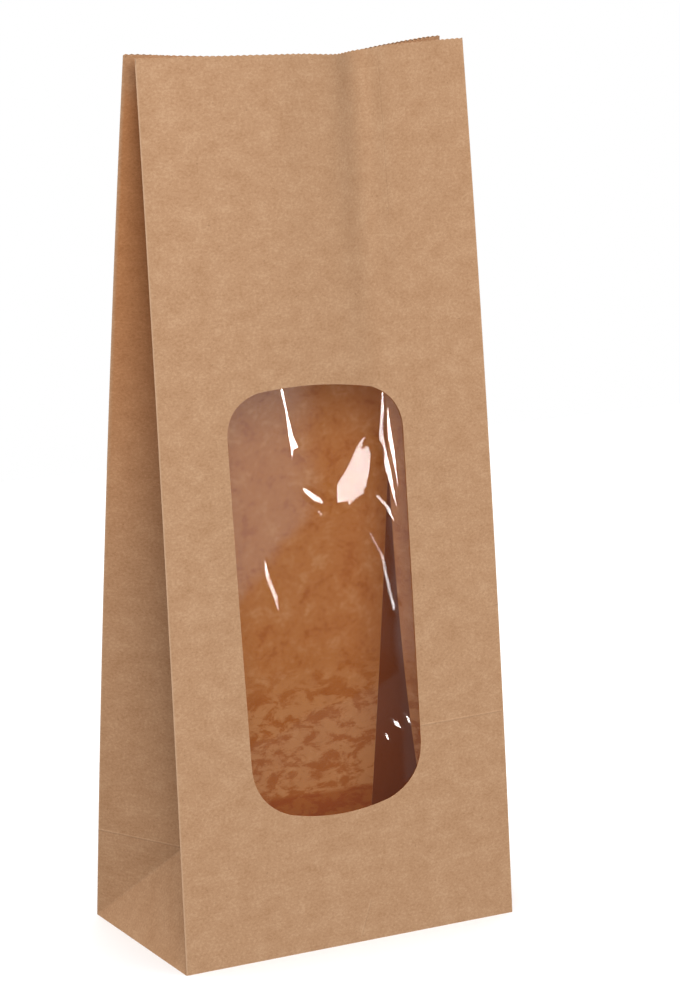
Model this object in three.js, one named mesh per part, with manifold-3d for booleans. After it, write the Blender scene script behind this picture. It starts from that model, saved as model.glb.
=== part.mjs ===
// Block-bottom paper bag with a window, standing open. Millimetres, +Z up.
// The origin is at the middle of the base, on the surface the bag stands on. The window
// faces -Y, and +X is to the right of someone who looks at the window.
import * as THREE from 'three';
import { mergeVertices } from 'three/addons/utils/BufferGeometryUtils.js';
import Module from 'manifold-3d';

const wasm = await Module();
wasm.setup();

// Driving sizes of the bag
const bagWidth = 120;
const bagDepth = 65; // the block bottom, and the width of each side gusset laid flat
const bagLength = 285; // paper from the bottom crease up to the mouth
const wall = 0.5;
const bottomFold = 30; // height of the crease where the flattened bottom folded over
const creaseReach = 3; // length of the solid tip inside a sharp gusset crease

// The four long edges, from the bottom rectangle up to the mouth. mouthX and mouthY are
// where an edge ends, and bow is how far it strays from a straight line half way up.
const edges = {
  frontLeft: { x: -bagWidth / 2, y: -bagDepth / 2, mouthX: -60, mouthY: -4.1, bow: -1.2 },
  frontRight: { x: bagWidth / 2, y: -bagDepth / 2, mouthX: 60, mouthY: 3.4, bow: -2.2 },
  backLeft: { x: -bagWidth / 2, y: bagDepth / 2, mouthX: -60, mouthY: 3.9, bow: 2.7 },
  backRight: { x: bagWidth / 2, y: bagDepth / 2, mouthX: 57.6, mouthY: 13.5, bow: -5.2 },
};

// The arch of the two broad panels towards the front at the mouth, and the step where
// the front panel is bent back to the right of its ridge
const archStart = 0.35; // share of the length below which the panels are straight
const archRidge = -8; // where across the bag the arch is highest
const archRound = 10; // how soft the ridge is
const stepPlace = 9;
const stepHalfWidth = 6;
const mouthDip = 1.8; // how much lower the mouth is where the panels arch
const panels = {
  front: { left: edges.frontLeft, right: edges.frontRight, arch: 11, step: 0.35 },
  back: { left: edges.backLeft, right: edges.backRight, arch: 11, step: 0 },
};

// The window die-cut in the front panel: its middle, its size and its rounded ends
const windowX = -3.5;
const windowWidth = 63;
const windowLow = 43.5;
const windowHigh = 180.5;
const windowRise = 5.5; // how far each end rises from its corners to its middle
const windowCorner = 11;

// The clear film behind the window
const film = 0.3;
const filmGap = 0.3;
const filmLap = 8; // how far it reaches past the window all round

const mergeDistance = 1e-4;
const { clamp, lerp, smoothstep } = THREE.MathUtils;

// Evenly spaced steps from one value to another
function steps(from, to, count) {
  return Array.from({ length: count + 1 }, (unused, i) => lerp(from, to, i / count));
}

// Where the panels have their corners: across, from -1 at the left edge to 1 at the
// right, and along the paper from the bottom to the mouth
const panelSteps = [
  ...steps(-1, -0.6, 2),
  ...steps(-0.4, -0.1, 2),
  ...steps(0.05, 0.25, 4),
  ...steps(0.4, 1, 3),
];
const lengthSteps = [
  ...steps(0, bottomFold, 3),
  ...steps(bottomFold, archStart * bagLength, 3).slice(1),
  ...steps(archStart * bagLength, bagLength, 9).slice(1),
];

// A point on a long edge, at s along the paper
function edgePoint(edge, s) {
  const t = s / bagLength;
  const lean = Math.hypot(edge.mouthX - edge.x, edge.mouthY - edge.y) / bagLength;
  return new THREE.Vector3(
    lerp(edge.x, edge.mouthX, t),
    lerp(edge.y, edge.mouthY, t) + 4 * edge.bow * t * (1 - t),
    s * Math.sqrt(1 - lean * lean),
  );
}

// How far the arch stands out at x across the bag, as a share of its height
function archShape(x, step) {
  const fromRidge = x - archRidge;
  const reach = fromRidge < 0 ? bagWidth / 2 + archRidge : bagWidth / 2 - archRidge;
  const tent = 1 - (Math.hypot(fromRidge, archRound) - archRound) / (reach - archRound);
  const fade = (bagWidth / 2 - x) / (bagWidth / 2 - stepPlace);
  return tent - step * fade * smoothstep(x, stepPlace - stepHalfWidth, stepPlace + stepHalfWidth);
}

// A point on a broad panel
function panelPoint(panel, across, s) {
  const point = edgePoint(panel.left, s).lerp(edgePoint(panel.right, s), (across + 1) / 2);
  const t = s / bagLength;
  const grown = clamp((t - archStart) / (1 - archStart), 0, 1) ** 1.5;
  const shape = archShape((across * bagWidth) / 2, panel.step) * (1 - Math.abs(across) ** 8);
  point.y -= panel.arch * grown * shape;
  point.z -= mouthDip * shape * t ** 6;
  return point;
}

// The inner crease of a gusset above the bottom fold, where its two halves meet. The
// paper keeps its width, so the crease moves inwards as the front and back come closer.
function gussetCrease(side, s) {
  const front = edgePoint(side < 0 ? edges.frontLeft : edges.frontRight, s);
  const back = edgePoint(side < 0 ? edges.backLeft : edges.backRight, s);
  const half = Math.hypot(front.x - back.x, front.y - back.y) / 2;
  const inward = Math.sqrt(Math.max((bagDepth / 2) ** 2 - half ** 2, 0));
  const x = (front.x + back.x) / 2 - side * inward;
  const onFront = panelPoint(panels.front, (2 * x) / bagWidth, s);
  const onBack = panelPoint(panels.back, (2 * x) / bagWidth, s);
  return new THREE.Vector3(x, (onFront.y + onBack.y) / 2, (onFront.z + onBack.z) / 2);
}

// The creases of a gusset at s along the paper. Above the bottom fold there is one, the
// inner crease. Below it two slanted creases rise from the bottom corners and meet at
// the fold, with a flat foot between them.
function gussetPoints(side, s) {
  if (s >= bottomFold) {
    const crease = gussetCrease(side, s);
    return [crease, crease, crease];
  }
  const meeting = gussetCrease(side, bottomFold);
  const frontEdge = side < 0 ? edges.frontLeft : edges.frontRight;
  const backEdge = side < 0 ? edges.backLeft : edges.backRight;
  const front = edgePoint(frontEdge, 0).lerp(meeting, s / bottomFold);
  const back = edgePoint(backEdge, 0).lerp(meeting, s / bottomFold);
  const middle = s > 0 ? front.clone().lerp(back, 0.5) : front;
  return [front, middle, back];
}

// A ring round the bag at s along the paper: across the front from left to right, the
// right gusset, across the back from right to left, and the left gusset
function outsideRing(s) {
  const front = panelSteps.map((across) => panelPoint(panels.front, across, s));
  const back = panelSteps.map((across) => panelPoint(panels.back, across, s));
  return [...front, ...gussetPoints(1, s), ...back.reverse(), ...gussetPoints(-1, s).reverse()];
}

// The same ring moved into the bag by the wall, each corner to where the moved walls
// meet, but no further than creaseReach at a crease that points into the bag
function insideRing(ring) {
  const count = ring.length;
  const wallNormal = (from, step) => {
    let here = from;
    let along = new THREE.Vector2();
    while (along.length() < mergeDistance) {
      const next = (here + step + count) % count;
      along = new THREE.Vector2(ring[next].x - ring[here].x, ring[next].y - ring[here].y);
      here = next;
    }
    return new THREE.Vector2(-along.y, along.x).multiplyScalar(step).normalize();
  };
  return ring.map((point, i) => {
    const before = wallNormal(i, -1);
    const after = wallNormal(i, 1);
    const inward = before.clone().add(after).multiplyScalar(wall / (1 + before.dot(after)));
    const pointsInto = before.cross(after) < 0;
    if (pointsInto) {
      inward.clampLength(0, creaseReach);
    }
    return new THREE.Vector3(point.x + inward.x, point.y + inward.y, Math.max(point.z, wall));
  });
}

// Triangles between the front and back halves of a bottom ring
function bottomFaces(first) {
  const columns = panelSteps.length;
  const backStart = first + columns + 3;
  const faces = [];
  for (let i = 0; i < columns - 1; i++) {
    const left = first + i;
    const farLeft = backStart + columns - 1 - i;
    faces.push([left, farLeft, farLeft - 1], [left, farLeft - 1, left + 1]);
  }
  return faces;
}

// The paper: outside and inside surfaces ring by ring, each closed at the bottom, joined
// round the mouth
function paperShell() {
  const outside = lengthSteps.map(outsideRing);
  const inside = outside.map(insideRing);
  const count = outside[0].length;
  const rings = [...outside, ...inside.reverse()];
  const faces = [];
  for (let row = 0; row < rings.length - 1; row++) {
    for (let i = 0; i < count; i++) {
      const next = (i + 1) % count;
      const below = row * count;
      const above = below + count;
      faces.push([below + i, below + next, above + next], [below + i, above + next, above + i]);
    }
  }
  const floor = bottomFaces((rings.length - 1) * count).map((face) => face.reverse());
  return solidOfFaces(rings.flat(), [...faces, ...bottomFaces(0), ...floor]);
}

function solidOfFaces(points, faces) {
  const geometry = new THREE.BufferGeometry().setFromPoints(points);
  geometry.setIndex(faces.flat());
  return solidOf(geometry);
}

// Points that coincide become one, and the triangles that this flattens are dropped
function solidOf(geometry) {
  geometry.deleteAttribute('normal');
  geometry.deleteAttribute('uv');
  const merged = mergeVertices(geometry, mergeDistance);
  const kept = [];
  for (let i = 0; i < merged.index.count; i += 3) {
    const [a, b, c] = merged.index.array.slice(i, i + 3);
    if (a !== b && b !== c && c !== a) {
      kept.push(a, b, c);
    }
  }
  return new wasm.Manifold(new wasm.Mesh({
    numProp: 3,
    vertProperties: new Float32Array(merged.attributes.position.array),
    triVerts: Uint32Array.from(kept),
  }));
}

// The outline of the window: two straight sides, arched ends and rounded corners. It is
// drawn round its own middle.
function windowOutline() {
  const half = windowWidth / 2;
  const high = (windowHigh - windowLow) / 2;
  const shoulder = high - windowRise;
  const side = shoulder - windowCorner;
  const inset = half - windowCorner;
  const shape = new THREE.Shape();
  shape.moveTo(half, -side);
  shape.lineTo(half, side);
  shape.quadraticCurveTo(half, shoulder, inset, high - windowRise / 3);
  shape.quadraticCurveTo(inset / 2, high, 0, high);
  shape.quadraticCurveTo(-inset / 2, high, -inset, high - windowRise / 3);
  shape.quadraticCurveTo(-half, shoulder, -half, side);
  shape.lineTo(-half, -side);
  shape.quadraticCurveTo(-half, -shoulder, -inset, windowRise / 3 - high);
  shape.quadraticCurveTo(-inset / 2, -high, 0, -high);
  shape.quadraticCurveTo(inset / 2, -high, inset, windowRise / 3 - high);
  shape.quadraticCurveTo(half, -shoulder, half, -side);
  return shape;
}

// The block that cuts the window, laid in the slant of the front panel
function windowCutter() {
  const depth = 16;
  const block = new THREE.ExtrudeGeometry(windowOutline(), {
    depth,
    bevelEnabled: false,
    curveSegments: 4,
  });
  const low = panelPoint(panels.front, (2 * windowX) / bagWidth, windowLow);
  const high = panelPoint(panels.front, (2 * windowX) / bagWidth, windowHigh);
  const slant = Math.atan2(high.y - low.y, high.z - low.z);
  block.translate(0, 0, -depth / 2);
  block.rotateX(Math.PI / 2 - slant);
  block.translate(windowX, (low.y + high.y) / 2, (low.z + high.z) / 2);
  return solidOf(block);
}

// The film follows the inside of the front panel, a small gap behind it
function windowFilm() {
  const halfWidth = windowWidth / 2 + filmLap;
  const across = steps(windowX - halfWidth, windowX + halfWidth, 8).map((x) => (2 * x) / bagWidth);
  const along = steps(windowLow - filmLap, windowHigh + filmLap, 8);
  const points = [];
  for (const behind of [wall + filmGap, wall + filmGap + film]) {
    for (const s of along) {
      for (const place of across) {
        points.push(panelPoint(panels.front, place, s).add(new THREE.Vector3(0, behind, 0)));
      }
    }
  }
  const columns = across.length;
  const layer = columns * along.length;
  const faces = [];
  const quad = (a, b, c, d) => faces.push([a, b, c], [a, c, d]);
  for (let row = 0; row < along.length - 1; row++) {
    for (let column = 0; column < columns - 1; column++) {
      const corner = row * columns + column;
      quad(corner, corner + 1, corner + columns + 1, corner + columns);
      quad(layer + corner, layer + corner + columns, layer + corner + columns + 1, layer + corner + 1);
    }
  }
  const top = layer - columns;
  for (let column = 0; column < columns - 1; column++) {
    quad(column, layer + column, layer + column + 1, column + 1);
    quad(top + column, top + column + 1, layer + top + column + 1, layer + top + column);
  }
  for (let row = 0; row < top; row += columns) {
    const right = row + columns - 1;
    quad(row, row + columns, layer + row + columns, layer + row);
    quad(right, layer + right, layer + right + columns, right + columns);
  }
  return solidOfFaces(points, faces);
}

function meshOf(name, solid, material) {
  const { vertProperties, triVerts } = solid.getMesh();
  const geometry = new THREE.BufferGeometry();
  geometry.setAttribute('position', new THREE.BufferAttribute(vertProperties, 3));
  geometry.setIndex(new THREE.BufferAttribute(triVerts, 1));
  geometry.computeVertexNormals();
  const mesh = new THREE.Mesh(geometry, material);
  mesh.name = name;
  return mesh;
}

const paper = new THREE.MeshStandardMaterial({ color: '#c29a70', roughness: 0.85, metalness: 0 });
const clearFilm = new THREE.MeshStandardMaterial({
  color: '#e9e4dc',
  roughness: 0.08,
  metalness: 0,
  transparent: true,
  opacity: 0.25,
});

const bag = new THREE.Group();
bag.add(meshOf('paper_bag', paperShell().subtract(windowCutter()), paper));
bag.add(meshOf('window_film', windowFilm(), clearFilm));
export default bag;
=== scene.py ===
from math import hypot, radians, sqrt

import bmesh
import bpy
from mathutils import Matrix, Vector


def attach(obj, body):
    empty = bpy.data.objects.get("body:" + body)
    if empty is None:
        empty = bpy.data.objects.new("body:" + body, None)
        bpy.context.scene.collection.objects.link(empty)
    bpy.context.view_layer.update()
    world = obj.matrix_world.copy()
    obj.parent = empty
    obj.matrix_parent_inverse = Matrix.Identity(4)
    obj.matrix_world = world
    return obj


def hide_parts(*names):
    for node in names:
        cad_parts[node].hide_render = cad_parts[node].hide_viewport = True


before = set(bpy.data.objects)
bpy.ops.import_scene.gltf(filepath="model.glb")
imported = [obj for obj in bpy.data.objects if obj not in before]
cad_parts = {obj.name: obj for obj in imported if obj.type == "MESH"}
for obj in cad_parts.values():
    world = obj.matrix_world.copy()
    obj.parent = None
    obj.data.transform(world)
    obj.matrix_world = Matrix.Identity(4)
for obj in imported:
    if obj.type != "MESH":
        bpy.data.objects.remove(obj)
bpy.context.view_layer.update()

scene = bpy.context.scene
MM = 0.001

# ---------------------------------------------------------------------------------------
# The folded paper
# One sheet of brown kraft, 382.5 mm round and 285 mm long, is folded into two broad panels
# and two side gussets and glued down the back with a 12.5 mm lap. The panels come together
# and arch forwards at the mouth, and the front one is bent back right of the arch.
# ---------------------------------------------------------------------------------------
WIDTH = 120.0
GUSSET = 65.0
LENGTH = 285.0
PAPER = 0.16
BOTTOM_FOLD = 30.0
LAP_FROM, LAP_TO = 55.0, 42.5    # where across the back the sheet starts and ends
LAP = LAP_FROM - LAP_TO
LAP_LIFT = 0.22

# Each long edge: x and y at the bottom, x and y at the mouth, bow half way up, and how
# much further up than square the cut is at that corner of the mouth
EDGES = {
    "front_left": (-60.0, -32.5, -60.0, -4.1, -1.2, -0.6),
    "front_right": (60.0, -32.5, 60.0, 3.4, -2.2, 0.7),
    "back_left": (-60.0, 32.5, -60.0, 3.9, 2.7, 0.0),
    "back_right": (60.0, 32.5, 57.6, 13.5, -5.2, -0.8),
}
ARCH = 11.0           # how far both panels arch forwards at the mouth
ARCH_START = 0.35     # from this share of the length up
ARCH_RIDGE = -8.0     # where across the panel its ridge runs
ARCH_ROUND = 10.0     # and how round that ridge is
FRONT_STEP = 0.46     # share of the arch that the front panel falls back at its step
STEP_HALF = 6.5
STEP_PLACE = 11.5     # where the step lies at the mouth,
STEP_DRIFT = 2.0      # and how much further right it lies lower down

# How the edge of the mouth dips, with place, spread and depth of each deepest spot
BACK_DIP = 2.9
BACK_HOLLOW = (14.0, 14.0, 0.9)
FRONT_TILT = 0.6
FRONT_HOLLOW = (10.0, 14.0, 1.2)

# Soft ripples across the top of the front panel: place, spread and height
RIPPLES = ((-16.0, 5.0, 0.55), (2.0, 5.0, 0.6), (22.5, 3.2, 0.75))

FOLD_GAP = 0.5        # the gusset starts this far behind the panel it is folded against
FOLD_EASE = 1.2       # and gets there over this much of its width
FOLD_MEETS = 10.0     # from here inwards it comes back to the plain fold
FOOT_PULL = {"left": 4.0, "right": 0.0}     # how much further in it is pushed near the foot
FOOT_END, GUSSET_FREE = 60.0, 160.0         # between these heights the one gives way to the other

# Where the folds lie round the flat sheet
BACK_LEFT = LAP_FROM + WIDTH / 2
FRONT_LEFT = BACK_LEFT + GUSSET
FRONT_RIGHT = FRONT_LEFT + WIDTH
BACK_RIGHT = FRONT_RIGHT + GUSSET
AROUND = BACK_RIGHT + WIDTH / 2 - LAP_TO


def clamp(value):
    return min(max(value, 0.0), 1.0)


def smooth(value, low, high):
    t = clamp((value - low) / (high - low))
    return t * t * (3 - 2 * t)


def bell(x, place, spread):
    return 2.718 ** (-(((x - place) / spread) ** 2))


def at_mouth(t):
    """Close to nothing over most of the length, 1 at the mouth."""
    return t ** 6


def edge_point(name, s):
    x, y, mouth_x, mouth_y, bow, trim = EDGES[name]
    t = s / LENGTH
    lean = hypot(mouth_x - x, mouth_y - y) / LENGTH
    across = y + (mouth_y - y) * t + 4 * bow * t * (1 - t)
    return Vector((x + (mouth_x - x) * t, across, s * sqrt(1 - lean * lean) + trim * at_mouth(t)))


def arch_shape(x, step, step_place):
    from_ridge = x - ARCH_RIDGE
    reach = WIDTH / 2 + (ARCH_RIDGE if from_ridge < 0 else -ARCH_RIDGE)
    tent = 1 - (hypot(from_ridge, ARCH_ROUND) - ARCH_ROUND) / (reach - ARCH_ROUND)
    fade = (WIDTH / 2 - x) / (WIDTH / 2 - step_place)
    return tent - step * fade * smooth(x, step_place - STEP_HALF, step_place + STEP_HALF)


def panel_point(side, x, s):
    """A point of the front or back panel, x across it and s along the paper."""
    across = 2 * x / WIDTH
    point = edge_point(side + "_left", s).lerp(edge_point(side + "_right", s), (across + 1) / 2)
    t = s / LENGTH
    grown = clamp((t - ARCH_START) / (1 - ARCH_START)) ** 1.5
    step = FRONT_STEP if side == "front" else 0.0
    step_place = STEP_PLACE + STEP_DRIFT * (1 - smooth(t, 0.6, 1.0))
    shape = arch_shape(x, step, step_place) * (1 - abs(across) ** 8)
    point.y -= ARCH * grown * shape
    if side == "back":
        place, spread, depth = BACK_HOLLOW
        dip = BACK_DIP * shape + depth * bell(x, place, spread)
    else:
        place, spread, depth = FRONT_HOLLOW
        dip = FRONT_TILT * (across / 2 + 0.5 - smooth(x, WIDTH / 6, WIDTH / 2))
        dip += depth * bell(x, place, spread)
        rise = smooth(t, 0.62, 0.98)
        for place, spread, height in RIPPLES:
            point.y -= rise * height * bell(x, place, spread)
    point.z -= dip * at_mouth(t)
    return point


def gusset_crease(side, s):
    front = edge_point("front_" + side, s)
    back = edge_point("back_" + side, s)
    half = hypot(front.x - back.x, front.y - back.y) / 2
    inward = sqrt(max((GUSSET / 2) ** 2 - half ** 2, 0.0))
    inward += FOOT_PULL[side] * (1 - smooth(s, FOOT_END, GUSSET_FREE))
    x = (front.x + back.x) / 2 + (inward if side == "left" else -inward)
    on_front = panel_point("front", x, s)
    on_back = panel_point("back", x, s)
    return Vector((x, (on_front.y + on_back.y) / 2, (on_front.z + on_back.z) / 2))


def gusset_point(side, g, s):
    """g runs across the gusset from its front edge, 0, to its back edge, 65 mm."""
    half = GUSSET / 2
    near = edge_point(("front_" if g <= half else "back_") + side, s)
    from_edge = min(g, GUSSET - g)
    if s >= BOTTOM_FOLD:
        point = near.lerp(gusset_crease(side, s), from_edge / half)
        apart = FOLD_GAP * smooth(from_edge, 0.0, FOLD_EASE)
        apart *= 1 - smooth(from_edge, FOLD_MEETS, half)
        apart *= smooth(s, FOOT_END, GUSSET_FREE)
        point.y += apart if g <= half else -apart
        return point
    meeting = gusset_crease(side, BOTTOM_FOLD)
    up = s / BOTTOM_FOLD
    slanted = half * up
    if from_edge <= slanted:
        corner = edge_point(("front_" if g <= half else "back_") + side, 0.0)
        return near.lerp(corner.lerp(meeting, up), from_edge / max(slanted, 1e-6))
    front = edge_point("front_" + side, 0.0).lerp(meeting, up)
    back = edge_point("back_" + side, 0.0).lerp(meeting, up)
    return front.lerp(back, (g - slanted) / (GUSSET - 2 * slanted))


def folded(u, s):
    """Where the point u round the flat sheet and s along it lies on the standing bag."""
    s = min(max(s, 0.0), LENGTH)
    if u <= BACK_LEFT:
        point = panel_point("back", LAP_FROM - u, s)
        point.y += LAP_LIFT * (1 - smooth(u, LAP - 1.0, LAP + 3.0))
        return point
    if u <= FRONT_LEFT:
        return gusset_point("left", FRONT_LEFT - u, s)
    if u <= FRONT_RIGHT:
        return panel_point("front", u - FRONT_LEFT - WIDTH / 2, s)
    if u <= BACK_RIGHT:
        return gusset_point("right", u - FRONT_RIGHT, s)
    return panel_point("back", WIDTH / 2 - (u - BACK_RIGHT), s)


def folded_normal(u, s):
    reach = 0.4
    along = folded(min(u + reach, AROUND), s) - folded(max(u - reach, 0.0), s)
    up = folded(u, s + reach) - folded(u, s - reach)
    return along.cross(up).normalized()


# The flat sheet is ruled every 2.5 mm, so that all folds fall on its lines. Below the
# bottom fold the rows are set so that the slanted creases run corner to corner.
CELL = 2.5
FOOT_ROWS = 13
columns = round(AROUND / CELL)
rows = FOOT_ROWS + round((LENGTH - BOTTOM_FOLD) / CELL)


def row_height(row):
    if row <= FOOT_ROWS:
        return BOTTOM_FOLD * row / FOOT_ROWS
    return BOTTOM_FOLD + (row - FOOT_ROWS) * CELL


def thick_slab(bm):
    """Gives a flat sheet a depth of 1 downwards and turns every face outwards."""
    pulled = bmesh.ops.extrude_face_region(bm, geom=bm.faces[:])
    lower = [item for item in pulled["geom"] if isinstance(item, bmesh.types.BMVert)]
    bmesh.ops.translate(bm, verts=lower, vec=(0, 0, -1))
    bmesh.ops.recalc_face_normals(bm, faces=bm.faces)


def make_object(name, bm):
    mesh = bpy.data.meshes.new(name)
    bm.to_mesh(mesh)
    bm.free()
    thing = bpy.data.objects.new(name, mesh)
    scene.collection.objects.link(thing)
    return thing


sheet = bmesh.new()
bmesh.ops.create_grid(sheet, x_segments=columns, y_segments=rows, size=0.5)
knots = {}
for vert in sheet.verts:
    column = round((vert.co.x + 0.5) * columns)
    row = round((vert.co.y + 0.5) * rows)
    vert.co = (column * CELL, row_height(row), 0)
    knots[column, row] = vert
for fold, turn in ((BACK_LEFT, 1), (FRONT_LEFT, -1), (FRONT_RIGHT, 1), (BACK_RIGHT, -1)):
    start = round(fold / CELL)
    for row in range(FOOT_ROWS):
        pair = [knots[start + turn * row, row], knots[start + turn * (row + 1), row + 1]]
        bmesh.ops.connect_verts(sheet, verts=pair)
thick_slab(sheet)
bag = make_object("kraft_paper_bag", sheet)

# The window is die-cut in the flat sheet: straight sides, arched ends, round corners. It is
# a little askew: the left side leans, the top falls to the right, the foot is rounder.
WINDOW_X = -3.5
WINDOW_WIDTH = 63.0
WINDOW_LOW = 43.0
WINDOW_HIGH = 180.7
TOP_RISE, TOP_CORNER = 5.5, 11.0
LOW_RISE, LOW_CORNER = 7.0, 13.0
LEFT_LEAN, RIGHT_LEAN = 0.028, 0.006
TOP_FALL = 0.045
TOP_LIFT = 0.45


def bend(start, pull, end, count):
    """Points on a curve from start towards end, pulled to one side."""
    points = []
    for step in range(count):
        t = step / count
        points.append(start * (1 - t) ** 2 + pull * (2 * t * (1 - t)) + end * t ** 2)
    return points


def window_end(rise, corner):
    """One end of the window, from its right side over the arch to its left side."""
    half = WINDOW_WIDTH / 2
    high = (WINDOW_HIGH - WINDOW_LOW) / 2
    side = high - rise - corner
    inset = half - corner
    eased = high - rise / 3
    quarter = bend(Vector((half, side)), Vector((half, high - rise)), Vector((inset, eased)), 12)
    quarter += bend(Vector((inset, eased)), Vector((inset / 2, high)), Vector((0, high)), 8)
    end = quarter + [Vector((-point.x, point.y)) for point in [Vector((0, high))] + quarter[:0:-1]]
    end.append(Vector((-half, side)))
    return end


def window_outline():
    upper = window_end(TOP_RISE, TOP_CORNER)
    for point in upper:
        point.y += TOP_LIFT - TOP_FALL * point.x
    outline = upper + [-point for point in window_end(LOW_RISE, LOW_CORNER)]
    for point in outline:
        on_left = 0.5 - point.x / WINDOW_WIDTH
        point.x -= (RIGHT_LEAN + (LEFT_LEAN - RIGHT_LEAN) * on_left) * point.y
    return outline


def cutter(name, outline):
    """A prism from 1 above the flat sheet to 1 below it."""
    bm = bmesh.new()
    bm.faces.new([bm.verts.new((point.x, point.y, 1.0)) for point in outline])
    pulled = bmesh.ops.extrude_face_region(bm, geom=bm.faces[:])
    lower = [item for item in pulled["geom"] if isinstance(item, bmesh.types.BMVert)]
    bmesh.ops.translate(bm, verts=lower, vec=(0, 0, -3.0))
    bmesh.ops.recalc_face_normals(bm, faces=bm.faces)
    return make_object(name, bm)


window_middle = Vector((FRONT_LEFT + WIDTH / 2 + WINDOW_X, (WINDOW_LOW + WINDOW_HIGH) / 2))
window_tool = cutter("window_tool", [window_middle + point for point in window_outline()])

# The mouth is cut with a zigzag knife
HALF_TOOTH = 1.0
TOOTH_TIP, TOOTH_ROOT = 0.05, 0.34    # how far below the end of the sheet
KNIFE_PAST = 1.0                      # how far the knife passes the sheet at each side
KNIFE_TOP = LENGTH + 4.0
teeth = [Vector((-KNIFE_PAST, LENGTH - TOOTH_ROOT))]
for step in range(round(AROUND / HALF_TOOTH) + 1):
    drop = TOOTH_ROOT if step % 2 else TOOTH_TIP
    teeth.append(Vector((step * HALF_TOOTH, LENGTH - drop)))
teeth.append(Vector((AROUND + KNIFE_PAST, LENGTH - TOOTH_ROOT)))
teeth += [Vector((AROUND + KNIFE_PAST, KNIFE_TOP)), Vector((-KNIFE_PAST, KNIFE_TOP))]
teeth_tool = cutter("teeth_tool", teeth)

for tool in (window_tool, teeth_tool):
    cut = bag.modifiers.new(tool.name, "BOOLEAN")
    cut.operation = "DIFFERENCE"
    cut.solver = "EXACT"
    cut.object = tool
cut_mesh = bpy.data.meshes.new_from_object(bag.evaluated_get(bpy.context.evaluated_depsgraph_get()))
bag.modifiers.clear()
flat_mesh = bag.data
bag.data = cut_mesh
bpy.data.meshes.remove(flat_mesh)
for tool in (window_tool, teeth_tool):
    bpy.data.objects.remove(tool)

# Now it is folded. The flat places stay on the paper as its UV map.
MAP = 100.0           # mm of paper for 1 on the map
FOLD_ANGLE = radians(20)
paper = bmesh.new()
paper.from_mesh(cut_mesh)
flat_map = paper.loops.layers.uv.new("sheet")
for face in paper.faces:
    face.material_index = 1 if max(vert.co.z for vert in face.verts) < -0.5 else 0
    for loop in face.loops:
        loop[flat_map].uv = (loop.vert.co.x / MAP, loop.vert.co.y / MAP)
for vert in paper.verts:
    u, s, depth = vert.co
    vert.co = (folded(u, s) + folded_normal(u, s) * (PAPER * depth)) * MM
paper.normal_update()
for face in paper.faces:
    face.smooth = True
for edge in paper.edges:
    edge.smooth = edge.calc_face_angle(0.0) < FOLD_ANGLE
paper.to_mesh(cut_mesh)
paper.free()
cut_mesh.name = "kraft_paper_bag"

# Brown kraft: fine fibres that lie across the sheet, darker flecks, soft clouds, and paler
# lines where the paper was folded or pressed, which along the folds are partly painted highlight
KRAFT_LIGHT = (0.600, 0.362, 0.208, 1)
KRAFT = (0.532, 0.303, 0.165, 1)
KRAFT_DARK = (0.470, 0.256, 0.131, 1)
# painted shade for the gussets, multiplied over the kraft colour
GUSSET_PAINTED_SHADE = (0.97, 0.74, 0.53, 1)
FLECK = (0.28, 0.14, 0.065, 1)
# pale worn creases, also used as painted highlight along the folds
CREASE_PALE_AND_HIGHLIGHT = (0.66, 0.43, 0.27, 1)

# Pressed lines on the flat sheet: start, end, width, strength (below 0 for a darker line).
# The pale ones along the folds are worn paper and partly painted highlight.
LEFT_CREASE = FRONT_LEFT - GUSSET / 2
MID_FRONT = FRONT_LEFT + WIDTH / 2
PRESSED = (
    ((BACK_LEFT, BOTTOM_FOLD), (BACK_LEFT, LENGTH), 0.5, 0.5),
    ((FRONT_LEFT, 0.0), (FRONT_LEFT, LENGTH), 0.75, 1.5),
    ((FRONT_RIGHT, 0.0), (FRONT_RIGHT, LENGTH), 0.45, 0.6),
    ((BACK_RIGHT, 0.0), (BACK_RIGHT, LENGTH), 0.45, 0.6),
    ((LEFT_CREASE, BOTTOM_FOLD), (LEFT_CREASE, LENGTH), 0.5, 0.5),
    ((BACK_LEFT, BOTTOM_FOLD), (FRONT_LEFT - 6.0, BOTTOM_FOLD), 0.45, 0.45),
    ((FRONT_RIGHT + 6.0, BOTTOM_FOLD), (BACK_RIGHT, BOTTOM_FOLD), 0.45, 0.45),
    ((BACK_LEFT, 0.0), (BACK_LEFT + GUSSET / 2, BOTTOM_FOLD), 0.4, 0.2),
    ((FRONT_LEFT, 0.0), (LEFT_CREASE, BOTTOM_FOLD), 0.4, 0.2),
    ((0.0, BOTTOM_FOLD), (BACK_LEFT, BOTTOM_FOLD), 0.5, 0.4),
    ((MID_FRONT + 28.0, 67.3), (FRONT_RIGHT, 67.8), 0.5, 0.35),
    ((MID_FRONT + 25.4, LENGTH), (MID_FRONT + 26.4, 232.0), 0.35, -0.35),
    ((MID_FRONT + 3.0, 2.0), (MID_FRONT + 7.0, 13.0), 0.5, 0.3),
)


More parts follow.
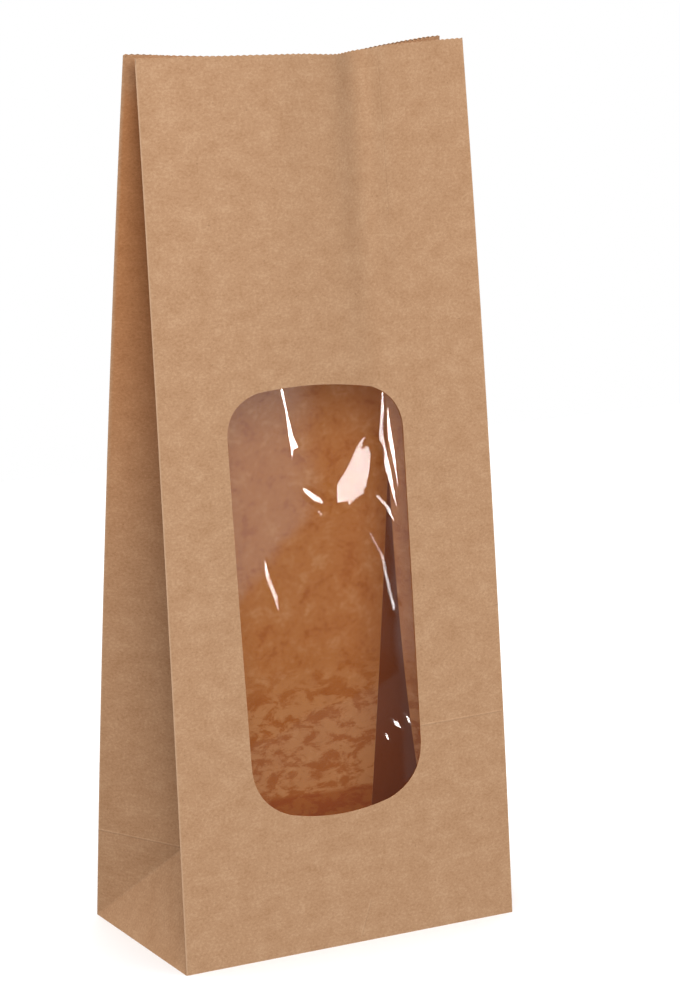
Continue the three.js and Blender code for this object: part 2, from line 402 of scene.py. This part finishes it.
class Nodes:
    """Short names for laying out one material's nodes."""

    def __init__(self, name):
        self.material = bpy.data.materials.new(name)
        self.material.use_nodes = True
        self.tree = self.material.node_tree
        self.shader = self.tree.nodes["Principled BSDF"]

    def add(self, kind, inputs=(), **settings):
        node = self.tree.nodes.new(kind)
        for key, value in settings.items():
            setattr(node, key, value)
        for socket, value in inputs:
            self.put(node.inputs[socket], value)
        return node

    def put(self, socket, value):
        if isinstance(value, bpy.types.NodeSocket):
            self.tree.links.new(value, socket)
        else:
            socket.default_value = value

    def math(self, operation, first, second=0.0, third=0.0):
        inputs = ((0, first), (1, second), (2, third))
        return self.add("ShaderNodeMath", inputs, operation=operation).outputs[0]

    def vector(self, operation, first, second, output=0):
        node = self.add("ShaderNodeVectorMath", ((0, first), (1, second)), operation=operation)
        return node.outputs[output]

    def noise(self, place, scale, detail=3.0, rough=0.5, distort=0.0):
        inputs = (("Vector", place), ("Scale", scale), ("Detail", detail),
                  ("Roughness", rough), ("Distortion", distort))
        return self.add("ShaderNodeTexNoise", inputs).outputs["Fac"]

    def ramp(self, value, low, high, to_low=0.0, to_high=1.0):
        inputs = (("Value", value), ("From Min", low), ("From Max", high),
                  ("To Min", to_low), ("To Max", to_high))
        node = self.add("ShaderNodeMapRange", inputs, interpolation_type="SMOOTHSTEP")
        return node.outputs["Result"]

    def mix(self, amount, first, second, blend="MIX"):
        node = self.add("ShaderNodeMix", data_type="RGBA", blend_type=blend)
        self.put(node.inputs[0], amount)
        self.put(node.inputs[6], first)
        self.put(node.inputs[7], second)
        return node.outputs[2]

    def line(self, place, start, end, width):
        """1 on the line from start to end, fading to 0 at its width."""
        start = Vector((start[0] / MAP, start[1] / MAP, 0))
        end = Vector((end[0] / MAP, end[1] / MAP, 0))
        way = (end - start).normalized()
        from_start = self.vector("SUBTRACT", place, start)
        along = self.vector("DOT_PRODUCT", from_start, way, output=1)
        held = self.add("ShaderNodeClamp", (("Value", along), ("Max", (end - start).length)))
        scaled = self.add("ShaderNodeVectorMath", ((0, way),), operation="SCALE")
        self.put(scaled.inputs["Scale"], held.outputs[0])
        away = self.vector("DISTANCE", from_start, scaled.outputs[0], output=1)
        return self.ramp(away, 0.0, width / MAP, 1.0, 0.0)

    def bump(self, height, strength, distance, under=None):
        inputs = [("Height", height), ("Strength", strength), ("Distance", distance)]
        if under is not None:
            inputs.append(("Normal", under))
        return self.add("ShaderNodeBump", inputs).outputs["Normal"]


def kraft_outside():
    make = Nodes("kraft_outside")
    flat = make.add("ShaderNodeUVMap", uv_map="sheet").outputs["UV"]
    laid = make.add("ShaderNodeMapping", (("Vector", flat), ("Scale", (1.0, 1.25, 1.0)))).outputs[0]
    fibres = make.noise(laid, 105.0, detail=5.0, rough=0.75, distort=0.4)
    grain = make.noise(flat, 300.0, detail=2.0)
    clouds = make.noise(laid, 13.0, detail=7.0, rough=0.68)
    flecks = make.ramp(make.noise(laid, 75.0, detail=2.0), 0.70, 0.76)
    tone = make.math("ADD", make.math("MULTIPLY", fibres, 0.62), make.math("MULTIPLY", clouds, 0.38))
    colour = make.mix(make.ramp(tone, 0.40, 0.50), KRAFT_DARK, KRAFT)
    colour = make.mix(make.ramp(tone, 0.50, 0.60), colour, KRAFT_LIGHT)
    colour = make.mix(make.math("MULTIPLY", flecks, 0.45), colour, FLECK)
    # painted shade: the gussets are coloured darker and warmer, standing in for light that reaches
    # them only through the paper, the more so the closer they lie
    place = make.add("ShaderNodeSeparateXYZ", (("Vector", flat),))
    round_sheet, up = place.outputs[0], place.outputs[1]
    half = GUSSET / 2 / MAP
    left = make.math("ABSOLUTE", make.math("SUBTRACT", round_sheet, BACK_LEFT / MAP + half))
    right = make.math("ABSOLUTE", make.math("SUBTRACT", round_sheet, FRONT_RIGHT / MAP + half))
    gusset = make.ramp(make.math("MINIMUM", left, right), half - 0.013, half, 1.0, 0.0)
    gusset_painted_shade = make.math("MULTIPLY", gusset, make.ramp(up, 0.9, 2.3, 0.12, 1.0))
    gusset_painted_shade = make.math("MULTIPLY", gusset_painted_shade, make.ramp(up, 2.66, 2.82, 1.0, 0.3))
    colour = make.mix(gusset_painted_shade, colour, GUSSET_PAINTED_SHADE, "MULTIPLY")
    ridge = None
    for start, end, width, strength in PRESSED:
        line = make.line(flat, start, end, width)
        # pale lines are worn creases and, along the folds, painted highlight
        tint = CREASE_PALE_AND_HIGHLIGHT if strength > 0 else KRAFT_DARK
        colour = make.mix(make.math("MULTIPLY", line, abs(strength) * 0.55), colour, tint)
        ridge = line if ridge is None else make.math("MAXIMUM", ridge, line)
    make.put(make.shader.inputs["Base Color"], colour)
    make.put(make.shader.inputs["Roughness"], make.ramp(grain, 0.2, 0.8, 0.62, 0.82))
    make.shader.inputs["Specular IOR Level"].default_value = 0.22
    cockle = make.bump(make.noise(flat, 4.2, detail=2.0), 0.10, 0.0016)
    tooth = make.bump(make.math("ADD", fibres, grain), 0.30, 0.00012, cockle)
    make.put(make.shader.inputs["Normal"], make.bump(ridge, 0.4, 0.0002, tooth))
    return make.material


# The inside is laminated, so it looks wet. Its warm orange-brown and a faint glow are painted
# light, for light that comes through one layer of paper. It has painted shade where the right
# gusset doubles the paper and near the mouth, and is blotched low down
INSIDE_LIGHT = (0.53, 0.265, 0.110, 1)
INSIDE = (0.425, 0.158, 0.039, 1)
INSIDE_DARK = (0.35, 0.106, 0.020, 1)
INSIDE_LOW = (0.30, 0.070, 0.013, 1)
# painted shade for the inside near the mouth
INSIDE_MOUTH_SHADE = (0.34, 0.190, 0.105, 1)
# painted shade where the right gusset doubles the paper and less light comes through
DOUBLED_PAINTED_SHADE = (0.185, 0.046, 0.010, 1)
# painted light: the glow below stands in for light that comes through the paper
PAINTED_GLOW = 0.20           # light that comes through a single layer of paper


def laminated_inside():
    make = Nodes("laminated_inside")
    flat = make.add("ShaderNodeUVMap", uv_map="sheet").outputs["UV"]
    place = make.add("ShaderNodeSeparateXYZ", (("Vector", flat),))
    round_sheet, up = place.outputs[0], place.outputs[1]
    blots = make.noise(flat, 13.0, detail=6.0, rough=0.62, distort=0.4)
    spots = make.noise(flat, 60.0, detail=3.0, rough=0.6)
    tone = make.math("ADD", make.math("MULTIPLY", blots, 0.7), make.math("MULTIPLY", spots, 0.3))
    colour = make.mix(make.ramp(tone, 0.36, 0.50), INSIDE_DARK, INSIDE)
    colour = make.mix(make.math("MULTIPLY", make.ramp(tone, 0.50, 0.68), 0.7), colour, INSIDE_LIGHT)
    laid = make.add("ShaderNodeMapping", (("Vector", flat), ("Scale", (1.0, 1.7, 1.0)))).outputs[0]
    patches = make.ramp(make.noise(laid, 11.0, detail=8.0, rough=0.70, distort=0.4), 0.45, 0.57)
    pale = make.mix(make.math("MULTIPLY", tone, 0.7), INSIDE_LIGHT, colour)
    blotched = make.mix(patches, pale, INSIDE_DARK)
    lower = make.ramp(up, 0.55, 0.88, 0.85, 0.0)
    colour = make.mix(lower, colour, blotched)
    wavering = make.math("MULTIPLY_ADD", make.noise(flat, 5.0), 0.03, round_sheet)
    # painted shade: the strip past the back right fold, where the gusset doubles the paper
    doubled_painted_shade = make.ramp(wavering, BACK_RIGHT / MAP + 0.010, BACK_RIGHT / MAP + 0.020)
    low = make.ramp(up, BOTTOM_FOLD / MAP - 0.01, BOTTOM_FOLD / MAP + 0.01, 0.92, 0.0)
    colour = make.mix(low, colour, make.mix(patches, INSIDE_DARK, INSIDE_LOW))
    colour = make.mix(doubled_painted_shade, colour, DOUBLED_PAINTED_SHADE)
    # painted shade: a duller brown near the mouth
    colour = make.mix(make.ramp(up, 2.3, 2.7), colour, INSIDE_MOUTH_SHADE)
    make.put(make.shader.inputs["Base Color"], colour)
    # painted light: the inside glows a little, less towards the mouth
    make.put(make.shader.inputs["Emission Color"], colour)
    painted_glow = make.ramp(up, 1.9, 2.6, PAINTED_GLOW, 0.0)
    make.put(make.shader.inputs["Emission Strength"], painted_glow)
    make.put(make.shader.inputs["Roughness"], make.ramp(spots, 0.3, 0.7, 0.34, 0.55))
    make.shader.inputs["Specular IOR Level"].default_value = 0.4
    make.put(make.shader.inputs["Normal"], make.bump(blots, 0.35, 0.0012))
    return make.material


outside = kraft_outside()
inside = laminated_inside()
bag.data.materials.append(outside)
bag.data.materials.append(inside)
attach(bag, "root")
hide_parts("paper_bag")

# ---------------------------------------------------------------------------------------
# The block bottom
# The end of the tube is folded flat and glued: an inner layer over the whole rectangle,
# and under it two flaps with slanted ends, the front one last.
# ---------------------------------------------------------------------------------------
FLAP_CUT = 18.0       # how far each corner is cut in
FLAP_REACH = 9.0      # how far each flap passes the middle
SHORT_BY = 0.5        # how far each layer stays inside the gussets
INSIDE_PATCH, OUTSIDE_PATCH = 1.0, 7.0      # where on the UV map a layer takes its pattern


def bottom_layer(name, front, back, height, free_side, paint):
    """A flat layer. Its back corners are cut off where free_side is 1, its front ones at -1."""
    bm = bmesh.new()
    bmesh.ops.create_grid(bm, x_segments=24, y_segments=10, size=0.5)
    for vert in bm.verts:
        along = front + (vert.co.y + 0.5) * (back - front)
        vert.co = (vert.co.x * (WIDTH - 2 * SHORT_BY), along, 0)
    if free_side:
        free = back if free_side > 0 else front
        for side in (-1, 1):
            corner = Vector((side * (WIDTH / 2 - FLAP_CUT), free, 0))
            cut_away = Vector((side, free_side, 0)).normalized()
            every = bm.verts[:] + bm.edges[:] + bm.faces[:]
            bmesh.ops.bisect_plane(bm, geom=every, plane_co=corner, plane_no=cut_away, clear_outer=True)
    thick_slab(bm)
    patch = INSIDE_PATCH if paint is inside else OUTSIDE_PATCH
    layer_map = bm.loops.layers.uv.new("sheet")
    for face in bm.faces:
        for loop in face.loops:
            loop[layer_map].uv = (loop.vert.co.x / MAP + patch, loop.vert.co.y / MAP + 1 + height)
    for vert in bm.verts:
        vert.co = Vector((vert.co.x, vert.co.y, height + PAPER * (1 + vert.co.z))) * MM
    layer = make_object(name, bm)
    layer.data.materials.append(paint)
    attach(layer, "root")


bottom_layer("bottom_inner_layer", -GUSSET / 2 + 0.4, GUSSET / 2 - 0.4, 0.40, 0, inside)
bottom_layer("bottom_back_flap", -FLAP_REACH, GUSSET / 2 - 0.3, 0.21, -1, outside)
bottom_layer("bottom_front_flap", -GUSSET / 2 + 0.3, FLAP_REACH, 0.02, 1, outside)

# ---------------------------------------------------------------------------------------
# The clear film
# A thin crisp film, glued behind the window with an 8 mm margin. It hangs slightly slack,
# and small dents in it catch the light.
# ---------------------------------------------------------------------------------------
FILM_THICK = 0.04
FILM_GAP = 0.12
FILM_MARGIN = 8.0
SLACK = 0.25          # how far it hangs back between its glued margins
FREE_UNDER = 2.0      # how far under the paper it already hangs free
FILM_WIDTH = WINDOW_WIDTH + 2 * FILM_MARGIN
FILM_LENGTH = WINDOW_HIGH - WINDOW_LOW + 2 * FILM_MARGIN
CELL_ACROSS, CELL_UP = 0.42, 0.65
GLINT_SLOPE = 0.157   # how steeply a dent leans to the right to mirror the strip light

# Dents, in mm on the front panel: how much of the full slope each has, how far its edge
# fades out, the line it hinges on ("own" for its own middle, or an x for an upright one)
# and its outline
DENTS = (
    (0.9, 1.0, "own", ((-16.2, 181.5), (-16.9, 180.0), (-15.1, 172.5), (-14.8, 166.0), (-13.5, 157.5),
                       (-12.8, 161.0), (-10.3, 161.6), (-12.3, 165.0), (-14.1, 172.4), (-15.6, 180.2))),
    (1.0, 1.2, "own", ((-10.4, 149.2), (-9.7, 147.0), (-6.8, 144.1), (-2.6, 142.4), (0.9, 141.6),
                       (-2.6, 144.1), (-6.4, 146.8))),
    (1.0, 0.8, "own", ((-8.2, 143.4), (-5.2, 140.2), (-2.3, 136.8), (-3.9, 140.4), (-6.9, 143.0))),
    (1.0, 5.0, 8.5, ((14.6, 158.5), (2.0, 148.5), (1.9, 143.2), (12.5, 146.1), (15.1, 152.5),
                     (15.6, 157.0))),
    (1.0, 0.7, "own", ((20.8, 177.0), (17.8, 159.0), (24.4, 136.5), (22.9, 151.0), (20.9, 161.5),
                       (21.5, 171.0))),
    (1.0, 0.7, "own", ((22.2, 174.0), (24.4, 158.0), (25.2, 142.0), (22.9, 153.5), (21.2, 164.0))),
    (1.0, 0.9, "own", ((12.6, 147.0), (19.4, 139.4), (23.3, 133.2), (21.3, 139.4), (15.1, 145.8))),
    (0.64, 1.5, "own", ((10.3, 134.5), (13.4, 130.5), (16.7, 124.0), (18.3, 115.5), (20.3, 105.5),
                        (22.0, 104.4), (22.9, 106.3), (21.0, 109.8), (19.8, 116.3), (18.5, 124.0),
                        (14.6, 131.0))),
    (1.0, 1.0, "own", ((-25.4, 128.0), (-25.3, 121.8), (-23.1, 115.3), (-20.8, 109.6), (-20.7, 116.1),
                       (-23.0, 121.5), (-24.2, 126.0))),
    (1.0, 0.9, "own", ((18.2, 70.6), (19.0, 68.2), (22.2, 66.8), (20.6, 69.6))),
    (1.0, 0.9, "own", ((23.0, 72.0), (23.7, 69.0), (25.2, 67.2), (24.8, 70.6))),
    (1.0, 0.9, "own", ((14.9, 66.6), (15.6, 64.4), (17.3, 63.4), (16.8, 65.7))),
)


def straight_depth(x, s):
    """How far behind the panel a sheet lies that is straight from side to side of the window."""
    half = WINDOW_WIDTH / 2
    left = panel_point("front", WINDOW_X - half, s).y
    right = panel_point("front", WINDOW_X + half, s).y
    straight = left + (right - left) * ((x - WINDOW_X) / half + 1) / 2
    return max(straight - panel_point("front", x, s).y, 0.0)


def dent_depth(x, s, share, fade, hinge, outline):
    """How much deeper the film lies at x, s for one dent: a facet inside the outline."""
    away = FILM_LENGTH
    crossings = []
    for start, end in zip(outline, outline[1:] + outline[:1]):
        start, end = Vector(start), Vector(end)
        along = clamp((Vector((x, s)) - start).dot(end - start) / (end - start).length_squared)
        away = min(away, (Vector((x, s)) - start.lerp(end, along)).length)
        if (start.y > s) != (end.y > s):
            crossings.append(start.x + (end.x - start.x) * (s - start.y) / (end.y - start.y))
    if crossings and min(crossings) <= x <= max(crossings):
        away = 0.0
    if hinge == "own":
        tip = min(outline, key=lambda corner: abs(corner[1] - s))
        hinge = (min(crossings) + max(crossings)) / 2 if crossings else tip[0]
    sides = [panel_point("front", WINDOW_X + way * WINDOW_WIDTH / 2, s).y for way in (-1, 1)]
    slope = GLINT_SLOPE * share - (sides[1] - sides[0]) / WINDOW_WIDTH
    return slope * (x - hinge) * (1 - smooth(away, 0.0, fade))


def film_depth(x, s):
    """How far the film hangs behind the panel."""
    hangs = smooth(WINDOW_WIDTH / 2 - abs(x - WINDOW_X), -FREE_UNDER, 7.0)
    hangs *= smooth(s - WINDOW_LOW, -FREE_UNDER, 8.0) * smooth(WINDOW_HIGH - s, -FREE_UNDER, 8.0)
    free = smooth(WINDOW_HIGH + 7.0 - s, 0.0, 7.0)
    depth = PAPER + FILM_GAP + hangs * SLACK + free * straight_depth(x, s)
    for share, fade, hinge, outline in DENTS:
        across = [corner[0] for corner in outline]
        along = [corner[1] for corner in outline]
        if (min(across) - fade < x < max(across) + fade) and (min(along) - fade < s < max(along) + fade):
            depth += dent_depth(x, s, share, fade, hinge, outline)
    return depth


film = bmesh.new()
bmesh.ops.create_grid(film, x_segments=round(FILM_WIDTH / CELL_ACROSS),
                      y_segments=round(FILM_LENGTH / CELL_UP), size=0.5)
film_map = film.loops.layers.uv.new("sheet")
for face in film.faces:
    face.smooth = True
    for loop in face.loops:
        loop[film_map].uv = (loop.vert.co.x * FILM_WIDTH / MAP, loop.vert.co.y * FILM_LENGTH / MAP)
for vert in film.verts:
    x = WINDOW_X + vert.co.x * FILM_WIDTH
    s = (WINDOW_LOW + WINDOW_HIGH) / 2 + vert.co.y * FILM_LENGTH
    vert.co = (panel_point("front", x, s) + Vector((0, film_depth(x, s), 0))) * MM
window_film = make_object("clear_window_film", film)
wall = window_film.modifiers.new("thickness", "SOLIDIFY")
wall.thickness = FILM_THICK * MM
wall.offset = -1.0
window_film.data.validate()


# Clear, with a mirror's shine at a slant and hardly any colour of its own
FILM_IOR = 1.22
GLINT = (0.93, 0.88, 0.86, 1)
# painted reflection: how much extra the film mirrors where its pale veil shows
PAINTED_VEIL = 0.05


def clear_film():
    make = Nodes("clear_film")
    flat = make.add("ShaderNodeUVMap", uv_map="sheet").outputs["UV"]
    place = make.add("ShaderNodeSeparateXYZ", (("Vector", flat),))
    mirror = make.add("ShaderNodeFresnel", (("IOR", FILM_IOR),)).outputs[0]
    # painted reflection: the film mirrors a little more in the upper left, in a slanting band low
    # down and along the right side, where a faint pale veil shows
    right, up = place.outputs[0], place.outputs[1]
    wave = make.math("MULTIPLY", make.math("SUBTRACT", make.noise(flat, 7.0), 0.5), 0.12)
    left = make.ramp(make.math("ADD", right, wave), -0.13, 0.03, 1.0, 0.0)
    above = make.ramp(make.math("ADD", make.math("MULTIPLY_ADD", right, -0.8, up), wave), 0.27, 0.34)
    slanting = make.math("ADD", make.math("MULTIPLY_ADD", right, -0.29, up), wave)
    band = make.math("MULTIPLY", make.ramp(slanting, -0.35, -0.33, 1.0, 0.0),
                     make.ramp(slanting, -0.60, -0.40, 0.25, 1.0))
    painted_veil = make.math("MAXIMUM", make.math("MULTIPLY", left, above), make.math("MULTIPLY", band, 0.4))
    edge = make.ramp(make.math("ADD", right, make.math("MULTIPLY", wave, 0.4)), 0.235, 0.27)
    painted_veil = make.math("MAXIMUM", painted_veil, make.math("MULTIPLY", edge, 0.6))
    painted_veil = make.math("MULTIPLY", painted_veil, PAINTED_VEIL)
    make.put(make.shader.inputs["Alpha"], make.math("ADD", mirror, painted_veil))
    make.shader.inputs["Base Color"].default_value = GLINT
    make.shader.inputs["Metallic"].default_value = 1.0
    make.put(make.shader.inputs["Roughness"], make.ramp(make.noise(flat, 30.0), 0.3, 0.7, 0.04, 0.09))
    make.put(make.shader.inputs["Normal"], make.bump(make.noise(flat, 9.0, detail=2.0), 0.15, 0.0003))
    return make.material


window_film.data.materials.append(clear_film())
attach(window_film, "root")
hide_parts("window_film")

# ---------------------------------------------------------------------------------------
# The studio
# A pale floor in an even white room, one large soft light from the front, one from above
# that keeps the floor white, and a strip and a card that only show as glints in the film.
# ---------------------------------------------------------------------------------------
FLOOR_HALF = 0.85
FLOOR_FORWARD = 0.20
floor_bm = bmesh.new()
bmesh.ops.create_grid(floor_bm, x_segments=1, y_segments=1, size=FLOOR_HALF)
bmesh.ops.translate(floor_bm, verts=floor_bm.verts, vec=(0, -FLOOR_FORWARD, 0))
floor = make_object("floor", floor_bm)
floor_make = Nodes("pale_floor")
floor_make.shader.inputs["Base Color"].default_value = (0.95, 0.95, 0.95, 1)
floor_make.shader.inputs["Roughness"].default_value = 0.9
floor_make.shader.inputs["Specular IOR Level"].default_value = 0.1
floor.data.materials.append(floor_make.material)
floor.visible_glossy = False      # it shows neither in the film nor as light on the paper
floor.visible_diffuse = False

# The camera sees the room as pure white, while the bag gets only some of its light
ROOM_LIGHT = 0.32
world = bpy.data.worlds.new("white_room")
world.use_nodes = True
scene.world = world
background = world.node_tree.nodes["Background"]
background.inputs["Color"].default_value = (1, 1, 1, 1)
seen = world.node_tree.nodes.new("ShaderNodeLightPath")
level = world.node_tree.nodes.new("ShaderNodeMapRange")
level.inputs["To Min"].default_value = ROOM_LIGHT
level.inputs["To Max"].default_value = 1.0
world.node_tree.links.new(seen.outputs["Is Camera Ray"], level.inputs["Value"])
world.node_tree.links.new(level.outputs["Result"], background.inputs["Strength"])
scene.view_settings.view_transform = "Standard"


def soft_light(name, place, aim, width, height, power):
    light = bpy.data.lights.new(name, "AREA")
    light.shape = "RECTANGLE"
    light.size = width
    light.size_y = height
    light.energy = power
    lamp = bpy.data.objects.new(name, light)
    lamp.location = place
    lamp.rotation_euler = (Vector(aim) - Vector(place)).to_track_quat("-Z", "Y").to_euler()
    scene.collection.objects.link(lamp)
    return lamp


soft_light("key_light", (-0.53, -1.62, 0.90), (0, 0, 0.14), 1.0, 1.0, 21.5)
soft_light("top_light", (0, 0.3, 2.0), (0, 0.3, 0), 2.4, 2.4, 52.0)
strip = soft_light("strip_light", (0.446, -0.436, 0.27), (0, -0.02, 0.25), 0.12, 0.5, 4.6)
card = soft_light("card_light", (0.48, -0.90, 0.27), (0, -0.02, 0.27), 0.9, 0.52, 0.55)
glinting = bpy.data.collections.new("glinting")
glinting.objects.link(window_film)
strip.light_linking.receiver_collection = glinting
card.light_linking.receiver_collection = glinting

# The camera stands in front and to the left, a little above the bag
camera_data = bpy.data.cameras.new("camera")
camera_data.sensor_fit = "VERTICAL"
camera_data.sensor_height = 36.0
camera_data.lens = 121.9
camera = bpy.data.objects.new("camera", camera_data)
camera.location = (-0.5079, -0.9252, 0.3786)
camera.rotation_euler = (radians(90 - 12.78), 0, radians(-29.39))
scene.collection.objects.link(camera)
scene.camera = camera
